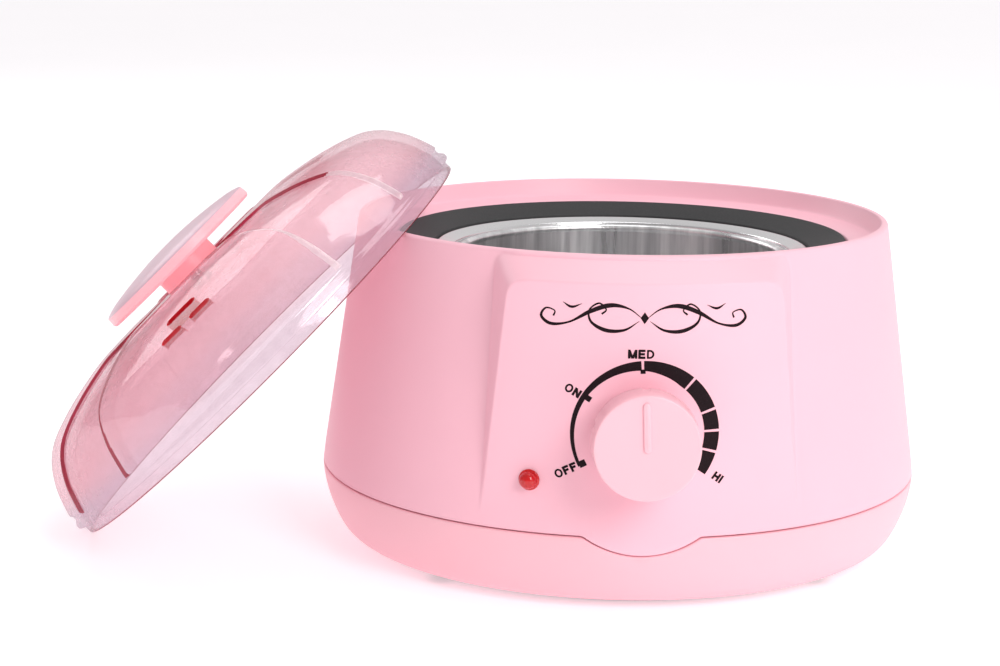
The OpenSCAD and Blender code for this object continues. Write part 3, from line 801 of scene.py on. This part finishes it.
# ------------------------------------------------------------------ ring, well and pot
ring = lathe("HeatRing", rounded([(69.15, 92.9), (69.15, 95.62, 0.7), (68.0, 95.35, 0.6), (58.55, 92.25, 0.45), (58.3, 91.2), (58.3, 90.4), (61.5, 90.4), (63.8, 92.9)], 5), 256, True, 40)
finish_piece(ring, "warmer", MATS["ring_dark"], "ring_dark", "heat_ring")
well = lathe("HeatingWell", rounded([(52.45, 90.0, 0.3), (52.7, 90.75, 0.5), (57.2, 91.85, 0.6), (58.1, 91.6, 0.4), (58.05, 90.5), (54.4, 89.9, 0.6), (53.6, 88.5), (53.6, 36.5, 3), (51.5, 31, 2), (47, 29, 2), (0, 29), (0, 30.2), (46.6, 30.2, 2), (50.4, 32, 2), (52.4, 37, 3)], 5), 256, True, 40)
finish_piece(well, "warmer", MATS["polished_aluminium"], "polished_aluminium", "heating_well")
roll_arc = [(50.6 + 1.25 * math.cos(a), 89.1 + 1.25 * math.sin(a)) for a in [math.radians(d) for d in range(-70, 226, 12)]]
pot = lathe("WaxPot", rounded([(0, 30.3), (43, 30.3, 3), (49.2, 33.2, 4), (50.7, 39.3, 3), (50.72, 87.7)], 5) + roll_arc + rounded([(49.9, 88.0), (49.9, 39.4, 3), (48.4, 33.9, 4), (42.8, 31.1, 3), (0, 31.1)], 5), 256, True, 40)
finish_piece(pot, "pot", MATS["pot_aluminium"], "polished_aluminium", "wax_pot")

# ------------------------------------------------------------------ lid
RAISED = [(0, 34.8), (16, 34.75), (30, 34.7), (38, 34.6), (42, 34.3), (48, 33.3), (55, 31.8), (62, 29.8), (68, 27.4), (72, 24.6), (75, 21.3), (78, 16.5), (80, 11.5), (81.3, 7.5), (81.75, 4.6)]
prof = spline(RAISED, 0.9)
LID_IN = spline([(0, 32.1), (20, 32.05), (38, 31.9), (41.8, 31.6), (47.3, 30.6), (54.1, 29.2), (60.8, 27.3), (66.3, 25.1), (69.9, 22.7), (72.6, 19.7), (75.4, 15.4), (77.3, 10.8), (78.6, 6.8), (78.75, 3.6)], 1.6)
EDGES = [(a, s) for c in (46.5, 136.5, 226.5, 316.5) for a, s in ((c - 12.0, -1), (c + 12.0, 1))]
theta = set()
for a, s in EDGES:
    for d in (-2.0, -1.5, -1.3, -1.05, -0.9, -0.75, -0.62, -0.44, -0.3, -0.17, -0.06, 0.06, 0.17, 0.3, 0.44, 0.62, 0.75, 0.9, 1.05, 1.3, 1.5, 2.0):
        theta.add(round((a + d) % 360, 4))
for i in range(240):
    t = i * 1.5
    if all(min(abs(t - a), 360 - abs(t - a)) > 2.2 for a, s in EDGES):
        theta.add(round(t, 4))
theta = sorted(theta)


def raised(t):
    """1 on a raised sector, 0 in a channel."""
    d = min(min(abs(t - c), 360 - abs(t - c)) for c in (46.5, 136.5, 226.5, 316.5)) - 12.0
    return smoothstep(-0.38, 0.38, d)


def normals(pr):
    out = []
    for i in range(len(pr)):
        a = pr[max(i - 1, 0)]; b = pr[min(i + 1, len(pr) - 1)]
        dr, dz = b[0] - a[0], b[1] - a[1]
        l = math.hypot(dr, dz) or 1
        out.append((-dz / l, dr / l) if dr >= 0 and False else (-dz / l, dr / l))
    return out


NRM = normals(prof)
rows = []
for (r, z), (nr, nz) in zip(prof, NRM):
    row = []
    low = smoothstep(7.2, 8.4, z)           # raised panels end a little above the rim
    mid = smoothstep(13.0, 15.5, r)         # and round the knob's foot
    for t in theta:
        k = raised(t) * low * mid
        off = -0.95 * (1 - k)
        if z < 8.4:
            off *= smoothstep(4.4, 6.2, z) if z > 4.4 else 0.0
            off = min(off, 0)
        rr = max(r + nr * off, 0.0) if r > 0.5 else r
        row.append((rr * math.cos(math.radians(t)), rr * math.sin(math.radians(t)), z + nz * off))
    rows.append(row)
SK = rounded([(81.75, 4.4), (81.75, 3.4, 0.35), (80.1, 3.4, 0.3), (80.1, 0.0, 0.4), (78.75, 0.0, 0.4), (78.75, 3.4)], 4)
for r, z in SK[1:]:
    rows.append([(r * math.cos(math.radians(t)), r * math.sin(math.radians(t)), z) for t in theta])
for r, z in reversed(LID_IN[:-1]):
    rows.append([(r * math.cos(math.radians(t)), r * math.sin(math.radians(t)), z) for t in theta])
v, f = grid_mesh(rows, True, False)
lid = new_object("LidShell", v, f, 0)
tidy(lid, 0, 0.002)


VENTS = [(2.3, 61.0, 30.0, 16, 11.4, 3.4), (7.2, 68.2, 27.3, 32, 7.9, 2.3), (-2.3, 68.2, 27.3, 32, 7.9, 2.3)]


def vent_matrix(turn, r, z, tilt):
    return Matrix.Rotation(math.radians(turn), 4, "Z") @ Matrix.Translation(Vector((0, -r, z))) @ Matrix.Rotation(math.radians(tilt), 4, "X")


def slot_cutter(turn, r, z, tilt, l, w):
    pts = []
    for s in (1, -1):
        for j in range(13):
            a = math.radians(-90 + 15 * j) if s == 1 else math.radians(90 + 15 * j)
            pts.append((s * (l - w) / 2 + w / 2 * math.cos(a), w / 2 * math.sin(a)))
    n = len(pts)
    m4 = vent_matrix(turn, r, z, tilt)
    vs = [tuple(m4 @ Vector((p[0], p[1], h))) for h in (-8, 6) for p in pts]
    fs = [tuple(range(n))[::-1], tuple(range(n, 2 * n))] + [(i, (i + 1) % n, n + (i + 1) % n, n + i) for i in range(n)]
    return new_object("cutter", vs, fs, 0)


cut(lid, [slot_cutter(*v_) for v_ in VENTS])
tidy(lid, 38)
place(lid, LID)
lid.data.materials.clear()
lid.data.materials.append(MATS["lid_clear"]); lid.data.materials.append(MATS["lid_edge"]); lid.data.materials.append(MATS["lid_vent"]); lid.data.materials.append(MATS["lid_glint"])
inv = LID.inverted()
vent_inv = [(vent_matrix(*v_[:4]).inverted(), v_[4], v_[5]) for v_ in VENTS]
for p in lid.data.polygons:
    c = (inv @ p.center) / MM
    nn = (inv.to_3x3() @ p.normal).normalized()
    t = math.degrees(math.atan2(c.y, c.x)) % 360
    r = math.hypot(c.x, c.y)
    near_c = min((46.5, 136.5, 226.5, 316.5), key=lambda q: min(abs(t - q), 360 - abs(t - q)))
    off_c = (t - near_c + 180) % 360 - 180
    step = abs(off_c) - 12.0
    outer = nn.x * c.x + nn.y * c.y + nn.z * 40 > 0
    tang = abs(-math.sin(math.radians(t)) * nn.x + math.cos(math.radians(t)) * nn.y)
    k = 0
    wide = 0.31 + 0.34 * smoothstep(31, 15, c.z)
    lo, hi = -wide, wide
    if (near_c == 226.5 and off_c > 0) or (near_c == 316.5 and off_c < 0):
        lo, hi = -0.4, 0.6 + 0.85 * smoothstep(31, 14, c.z)
    # outer step faces: index 1 paints them as dark shade lines, index 3 as a painted highlight on the lit right-hand
    # edges
    if outer and lo < step < hi and 7.6 < c.z < 34.7 and r > 14:
        k = 3 if near_c == 316.5 and c.z < (27.5 if off_c > 0 else 33.5) else (1 if near_c in (226.5, 316.5) or c.z > 30 else 0)
    for vm, l, w in vent_inv:
        q = vm @ c
        qn = vm.to_3x3() @ nn
        if abs(q.x) < l / 2 + 0.05 and abs(q.y) < w / 2 + 0.05 and abs(qn.z) < 0.3 and (l > 10 or qn.y < 0.2):
            k = 2
    # the skirt's lower face gets the painted dark edge shade
    if c.z < 0.35 and nn.z < -0.2:
        k = 1
    p.material_index = k
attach(lid, "lid"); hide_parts("lid_shell")

kn = lathe("LidKnob", rounded([(0, 33.95), (10.35, 33.95), (10.35, 38.8, 0.5), (28.9, 38.8, 0.5), (29.5, 39.7, 0.4), (29.25, 42.2, 0.5)], 5)
           + spline([(28.7, 42.7), (26.5, 43.45), (24, 44.0), (18, 44.85), (12, 45.45), (6, 45.85), (0, 45.95)], 1.6), 160, True, 30)
kn.data.materials.clear()
kn.data.materials.append(MATS["lid_knob_plastic"]); kn.data.materials.append(MATS["lid_knob_crown"])
for p in kn.data.polygons:
    c = p.center / MM
    p.material_index = 1 if c.z > 42.4 else 0
place(kn, LID)
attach(kn, "lid"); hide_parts("lid_knob")

# ------------------------------------------------------------------ control knob
KP = rounded([(3.2, 95.3), (5.0, 95.3), (5.0, 101.3), (10.7, 101.3), (10.7, 93.0), (12.2, 92.8, 0.2), (12.45, 93.4), (12.45, 99.7), (12.5, 99.85), (14.8, 99.85, 0.2),
              (15.0, 100.3), (14.95, 104.0), (14.8, 108.6), (14.65, 109.4, 0.6), (13.6, 109.42), (0, 109.35)], 5)
knob = lathe("ControlKnob", KP + [(0, 104.7), (3.2, 104.7)], 192, True, 30)
cutters = []
for k in range(5):
    a = math.radians(90 + 72 * k)
    vs, fs = [], []
    n = 32
    for h in (98.6, 104.2):
        rr = 2.6 if h < 100 else 2.2
        vs += [(16.95 * math.cos(a) + rr * math.cos(2 * math.pi * j / n), 16.95 * math.sin(a) + rr * math.sin(2 * math.pi * j / n), h) for j in range(n)]
    fs = [tuple(range(n))[::-1], tuple(range(n, 2 * n))] + [(j, (j + 1) % n, n + (j + 1) % n, n + j) for j in range(n)]
    cutters.append(new_object("cutter", vs, fs, 0))
cut(knob, cutters)
tidy(knob, 30)
knob.data.transform(Matrix.Translation((-0.7 * MM, 0, 0)))
place(knob, facing(0, DIAL_Z))
finish_piece(knob, "knob", MATS["knob_plastic"], "knob_plastic", "control_knob")


def capsule(name, width, length, height, y0):
    """Rounded bar on a face: local X across, Y along."""
    rows = []
    prof = [(1.0, -0.3), (1.0, 0.45), (0.93, 0.72), (0.78, 0.90), (0.5, 0.99), (0.0, 1.02)]
    outline = []
    for j in range(25):
        a = math.pi * j / 24
        outline.append((math.cos(a), math.sin(a), 1))
    for j in range(25):
        a = math.pi + math.pi * j / 24
        outline.append((math.cos(a), math.sin(a), 0))
    for s, h in prof:
        row = []
        for cx, cy, e in outline:
            row.append((width / 2 * s * cx, y0 + (length - width if e else 0) + width / 2 * s * cy, h * height))
        rows.append(row)
    v, f = grid_mesh(rows, True, False)
    f.append(tuple(range(len(outline)))[::-1])
    f.append(tuple(range(len(rows[0]) * (len(rows) - 1), len(rows[0]) * len(rows))))
    return new_object(name, v, f, 60)


ridge = capsule("PointerRidge", 2.1, 13.9, 0.78, 0.0)
ridge.data.transform(Matrix.Translation((-0.7 * MM, 0, 109.34 * MM)))
ridge.data.transform(Matrix.Rotation(math.radians(2.5), 4, "Z"))
place(ridge, facing(0, DIAL_Z))
finish_piece(ridge, "knob", MATS["knob_plastic"], "knob_plastic")

# ------------------------------------------------------------------ lamp
lamp = lathe("LampLens", rounded([(0, 86), (2.45, 86), (2.45, 92.0), (3.0, 92.05), (3.05, 92.5, 0.25), (2.5, 92.75, 0.15)], 4)
             + [(2.5 * math.cos(a), 93.2 + 2.2 * math.sin(a)) for a in [math.radians(d) for d in range(0, 91, 6)]], 96, True, 50)
place(lamp, facing(-20, 38.8))
finish_piece(lamp, "warmer", MATS["lens_red"], "lens_red", "indicator_lens")


# ------------------------------------------------------------------ print on the panel
def on_panel(x, z, lift=0.05):
    r = PANEL_R + lift
    return (x, -math.sqrt(r * r - x * x), z)


def band(name, cx, cz, a0, a1, inner, outer, step=1.2, lift=0.05):
    """Part of a ring printed on the panel; angles clockwise from 12 o'clock, radii as functions of angle."""
    n = max(int(abs(a1 - a0) / step), 1)
    rows = [[], [], []]
    for i in range(n + 1):
        a = a0 + (a1 - a0) * i / n
        ri, ro = inner(a), outer(a)
        for k, t in enumerate((0, 0.5, 1)):
            r = ri + (ro - ri) * t
            rows[k].append(on_panel(cx + r * math.sin(math.radians(a)), cz + r * math.cos(math.radians(a)), lift))
    v, f = grid_mesh(rows, False, False)
    return new_object(name, v, f, 0)


def patch(name, quad, lift=0.05, n=4):
    rows = []
    for i in range(n + 1):
        t = i / n
        a = Vector(quad[0]).lerp(Vector(quad[3]), t); b = Vector(quad[1]).lerp(Vector(quad[2]), t)
        rows.append([on_panel(*a.lerp(b, j / n), lift) for j in range(n + 1)])
    v, f = grid_mesh(rows, False, False)
    return new_object(name, v, f, 0)


DCX, DCZ, DR = 0.2, 53.4, 20.75
TH_A = [-118.4, -58.6, -30, -3.5, 15, 35, 125]
TH_V = [0.85, 1.5, 2.1, 2.75, 3.5, 4.2, 4.25]
out_r = lambda a: DR
in_r = lambda a: DR - interp(a, TH_A, TH_V)
prints = []
gap = 1.05
stops = [-118.4, -3.5, 40.6, 69.9, 87.8, 105.1, 124.6]
for i in range(len(stops) - 1):
    a0 = stops[i] + (gap if i > 0 else 0); a1 = stops[i + 1] - (gap if i < len(stops) - 2 else 0)
    prints.append(band("arc", DCX, DCZ, a0, a1, in_r, out_r))


def tick(a, w, r0, r1):
    s, c = math.sin(math.radians(a)), math.cos(math.radians(a))
    q = []
    for u, r in ((-w / 2, r1), (w / 2, r1), (w / 2, r0), (-w / 2, r0)):
        q.append((DCX + r * s + u * c, DCZ + r * c - u * s))
    return patch("tick", q)


prints += [tick(-117.4, 1.9, DR - 2.4, DR - 0.4), tick(-58.6, 1.6, DR - 2.9, DR - 0.6), tick(-3.5, 1.4, DR - 3.6, DR - 2.4)]


GLYPHS = {
    "F": (1.75, [[(0.28, 0), (0.28, 2.4)], [(0.1, 2.13), (1.75, 2.13)], [(0.3, 1.22), (1.5, 1.22)]]),
    "E": (1.85, [[(0.28, 0), (0.28, 2.4)], [(0.1, 2.13), (1.85, 2.13)], [(0.3, 1.22), (1.7, 1.22)], [(0.1, 0.27), (1.85, 0.27)]]),
    "H": (1.95, [[(0.28, 0), (0.28, 2.4)], [(1.67, 0), (1.67, 2.4)], [(0.3, 1.22), (1.65, 1.22)]]),
    "I": (0.56, [[(0.28, 0), (0.28, 2.4)]]),
    "N": (1.95, [[(0.27, 0), (0.27, 2.4)], [(1.68, 0), (1.68, 2.4)], [(0.22, 2.36), (1.73, 0.04)]]),
    "M": (2.35, [[(0.27, 0), (0.27, 2.4)], [(2.08, 0), (2.08, 2.4)], [(0.22, 2.36), (1.175, 0.04)], [(1.175, 0.04), (2.13, 2.36)]]),
    "O": (2.2, "ring"),
    "D": (2.0, "dee"),
}


def glyph(ch, w=0.66):
    """Faces of one bold capital, 2.4 high, in its own plane."""
    width, lines = GLYPHS[ch]
    quads = []
    if lines == "ring":
        n = 28
        for k in range(n):
            a, b = 2 * math.pi * k / n, 2 * math.pi * (k + 1) / n
            quads.append([(1.1 + 1.1 * math.cos(a), 1.2 + 1.24 * math.sin(a)), (1.1 + 1.1 * math.cos(b), 1.2 + 1.24 * math.sin(b)),
                          (1.1 + 0.56 * math.cos(b), 1.2 + 0.72 * math.sin(b)), (1.1 + 0.56 * math.cos(a), 1.2 + 0.72 * math.sin(a))])
        return width, quads
    if lines == "dee":
        quads.append([(0.02, 0), (0.54, 0), (0.54, 2.4), (0.02, 2.4)])
        n = 16
        for k in range(n):
            a, b = -math.pi / 2 + math.pi * k / n, -math.pi / 2 + math.pi * (k + 1) / n
            quads.append([(0.8 + 1.2 * math.cos(a), 1.2 + 1.2 * math.sin(a)), (0.8 + 1.2 * math.cos(b), 1.2 + 1.2 * math.sin(b)),
                          (0.8 + 0.66 * math.cos(b), 1.2 + 0.70 * math.sin(b)), (0.8 + 0.66 * math.cos(a), 1.2 + 0.70 * math.sin(a))])
        quads.append([(0.5, 0), (0.82, 0), (0.82, 0.5), (0.5, 0.5)]); quads.append([(0.5, 1.9), (0.82, 1.9), (0.82, 2.4), (0.5, 2.4)])
        return width, quads
    for (x0, y0), (x1, y1) in lines:
        dx, dy = x1 - x0, y1 - y0
        l = math.hypot(dx, dy)
        if abs(dx) > 1e-6 and abs(dy) > 1e-6:      # diagonals keep level ends
            h = w / 2 * l / abs(dy)
            yt, yb = (2.4, 0.0)
            xt, xb = (x0, x1) if y0 > y1 else (x1, x0)
            quads.append([(xb - h, yb), (xb + h, yb), (xt + h, yt), (xt - h, yt)])
        else:
            nx, ny = -dy / l * w / 2, dx / l * w / 2
            quads.append([(x0 + nx, y0 + ny), (x0 - nx, y0 - ny), (x1 - nx, y1 - ny), (x1 + nx, y1 + ny)])
    return width, quads


def label(text, x, z, height, rot, gap_=0.36):
    k = height / 2.4
    shapes, pen = [], 0.0
    for ch in text:
        width, quads = glyph(ch)
        shapes.append((pen, quads))
        pen += width + gap_
    total = pen - gap_
    c, s_ = math.cos(math.radians(rot)), math.sin(math.radians(rot))
    verts, faces = [], []
    for layer, (px, quads) in enumerate(shapes):
        for qn, q in enumerate(quads):
            b0 = len(verts)
            for qx, qy in q:
                u = (qx + px - total / 2) * k; v_ = (qy - 1.2) * k
                verts.append(on_panel(x + u * c - v_ * s_, z + u * s_ + v_ * c, 0.05 + 0.002 * (qn % 4)))
            faces.append((b0, b0 + 1, b0 + 2, b0 + 3))
    return new_object("label", verts, faces, 0)


prints += [label("OFF", -21.5, 42.3, 2.45, 27), label("ON", -20.0, 65.2, 2.45, -30), label("MED", -1.5, 76.0, 2.5, 0), label("HI", 21.0, 40.6, 2.4, -35)]


def stroke(pts, widths, lift=0.05):
    """Pen stroke along a smooth line, with its width swelling and thinning."""
    line = spline([(p[0], p[1], w) for p, w in zip(pts, widths)], 0.35)
    rows = [[], []]
    for i, p in enumerate(line):
        a = line[max(i - 1, 0)]; b = line[min(i + 1, len(line) - 1)]
        dx, dz = b[0] - a[0], b[1] - a[1]
        l = math.hypot(dx, dz) or 1
        w = max(p[2], 0.04) / 2
        rows[0].append(on_panel(p[0] - dz / l * w, p[1] + dx / l * w, lift))
        rows[1].append(on_panel(p[0] + dz / l * w, p[1] - dx / l * w, lift))
    v, f = grid_mesh(rows, False, False)
    return new_object("stroke", v, f, 0)


FX, FZ = -0.8, 86.1
S1 = [(0.8, 0), (4.5, 2.6), (9.5, 3.4), (15, 1.5), (20.5, -1.6), (25.5, -2.4), (28.2, -0.4), (27.0, 1.9), (24.6, 1.3), (24.9, -0.2)]
W1 = [0.15, 0.5, 1.25, 1.15, 0.55, 0.9, 0.75, 0.5, 0.35, 0.55]
S2 = [(1.5, -0.9), (5.5, -3.4), (10.5, -3.6), (14.6, -1.4), (15.2, 1.9), (12.6, 3.9), (10.6, 2.2), (11.8, 0.9)]
W2 = [0.12, 0.7, 1.1, 0.7, 0.45, 0.5, 0.4, 0.6]
S3 = [(17.2, 3.6), (20.0, 2.6), (22.4, 3.9)]
W3 = [0.1, 0.7, 0.12]
for sx in (1, -1):
    for S, W in ((S1, W1), (S2, W2), (S3, W3)):
        prints.append(stroke([(FX + sx * p[0], FZ + p[1]) for p in S], W))
dm = [(FX, FZ + 1.7), (FX + 1.15, FZ), (FX, FZ - 1.7), (FX - 1.15, FZ)]
prints.append(patch("diamond", dm))
scale = join(prints, "DialPrint")
tidy(scale, 0)
# every print face looks outwards
bmx = bmesh.new(); bmx.from_mesh(scale.data)
for fc in bmx.faces:
    if fc.normal.y > 0:
        fc.normal_flip()
bmx.to_mesh(scale.data); bmx.free()
finish_piece(scale, "warmer", MATS["scale_print"], "scale_print", "dial_scale")

# ------------------------------------------------------------------ carried-over CAD nodes
shown = {s["node"]: s["material_slot"] for s in frame["record"]["subparts"]}
for n, o in NODES.items():
    if o.hide_render:
        continue
    mat = MATS.get(shown[n]) or MATS["steel"]
    o.data.materials.clear()
    o.data.materials.append(mat)
    for p in o.data.polygons:
        p.material_index = 0

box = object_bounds()
